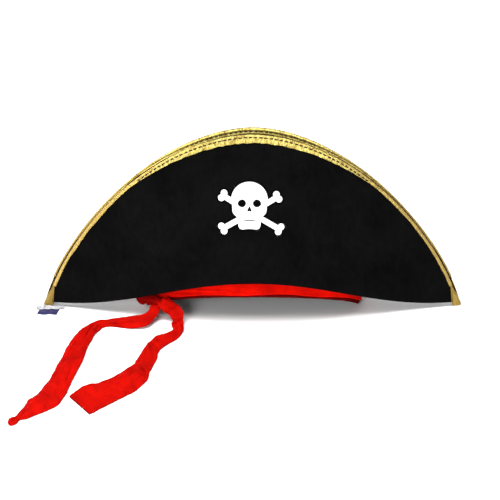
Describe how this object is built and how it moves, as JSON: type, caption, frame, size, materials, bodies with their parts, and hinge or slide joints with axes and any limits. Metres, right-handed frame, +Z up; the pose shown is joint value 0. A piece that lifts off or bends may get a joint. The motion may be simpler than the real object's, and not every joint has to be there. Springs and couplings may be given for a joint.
{
  "type": "costume pirate hat",
  "caption": "Black bicorne-style costume hat with gold ribbon binding, white skull print, soft crown, and red sash whose two tails trail on the ground.",
  "frame": {"origin": "middle of the line joining the two tips, in the plane of the head opening's flat rear rim, at ground level", "axes": "+X along the line of the tips towards the wearer's left, +Y towards the wearer's back, +Z up; the printed front faces -Y"},
  "size_m": [0.4785, 0.3411, 0.2052],
  "materials": {
    "front_panel_face": "black brushed velour cloth, soft matt nap, turned in under the bottom edge",
    "front_panel_core": "thin pale grey foam sheet stiffener",
    "front_panel_backing": "black plain lining cloth",
    "front_trim": "gold metallic lame ribbon, fine cross ribs, stitched along the middle",
    "skull_print": "white heat-transfer film",
    "back_panel_face": "black brushed velour cloth, soft matt nap, turned in under the bottom edge",
    "back_panel_core": "thin pale grey foam sheet stiffener",
    "back_panel_backing": "black plain lining cloth",
    "back_trim": "gold metallic lame ribbon, fine cross ribs, stitched along the middle",
    "left_tip_wrap": "gold metallic lame ribbon folded round the tip",
    "right_tip_wrap": "gold metallic lame ribbon folded round the tip",
    "crown_front": "black soft cloth",
    "crown_back": "black soft cloth",
    "sweatband": "black woven tape",
    "rear_elastic": "black ruched elastic tape",
    "sash_band": "bright red thin woven cloth, folded and creased",
    "sash_knot": "bright red thin woven cloth, knotted",
    "tail_long": "bright red thin woven cloth, rolled edges",
    "tail_short": "bright red thin woven cloth, rolled edges",
    "care_label": "white satin label tape, blank",
    "size_label": "dark blue satin label tape, blank"
  },
  "bodies": {
    "hat": {"crown_front": "crown_front", "crown_back": "crown_back", "sweatband": "sweatband", "rear_elastic": "rear_elastic", "sash_band": "sash_band", "sash_knot": "sash_knot", "left_tip_wrap": "left_tip_wrap", "right_tip_wrap": "right_tip_wrap"},
    "front_brim": {"front_panel_face": "front_panel_face", "front_panel_core": "front_panel_core", "front_panel_backing": "front_panel_backing", "front_trim": "front_trim", "skull_print": "skull_print"},
    "back_brim": {"back_panel_face": "back_panel_face", "back_panel_core": "back_panel_core", "back_panel_backing": "back_panel_backing", "back_trim": "back_trim"},
    "long_tail": {"tail_long": "tail_long"},
    "short_tail": {"tail_short": "tail_short"},
    "labels": {"care_label": "care_label", "size_label": "size_label"}
  },
  "joints": [
    {"name": "front_brim_tilt", "type": "hinge", "parent": "hat", "child": "front_brim", "pos_m": [0, 0, 0], "axis": [1, 0, 0], "range_deg": [0, 15], "stiffness_Nm_per_rad": 0.8, "springref_deg": -2.29},
    {"name": "back_brim_tilt", "type": "hinge", "parent": "hat", "child": "back_brim", "pos_m": [0, 0, 0], "axis": [-1, 0, 0], "range_deg": [0, 15], "stiffness_Nm_per_rad": 0.8, "springref_deg": -2.29},
    {"name": "tail_long_swing", "type": "hinge", "parent": "hat", "child": "long_tail", "pos_m": [-0.1045, -0.034, 0], "axis": [0, 0, -1], "range_deg": [0, 12]},
    {"name": "tail_short_swing", "type": "hinge", "parent": "hat", "child": "short_tail", "pos_m": [-0.1045, -0.034, 0], "axis": [0, 0, 1], "range_deg": [0, 25]},
    {"name": "label_flap", "type": "hinge", "parent": "hat", "child": "labels", "pos_m": [-0.2245, -0.007, 0.0012], "axis": [-1, 0, 0], "range_deg": [0, 20]}
  ]
}
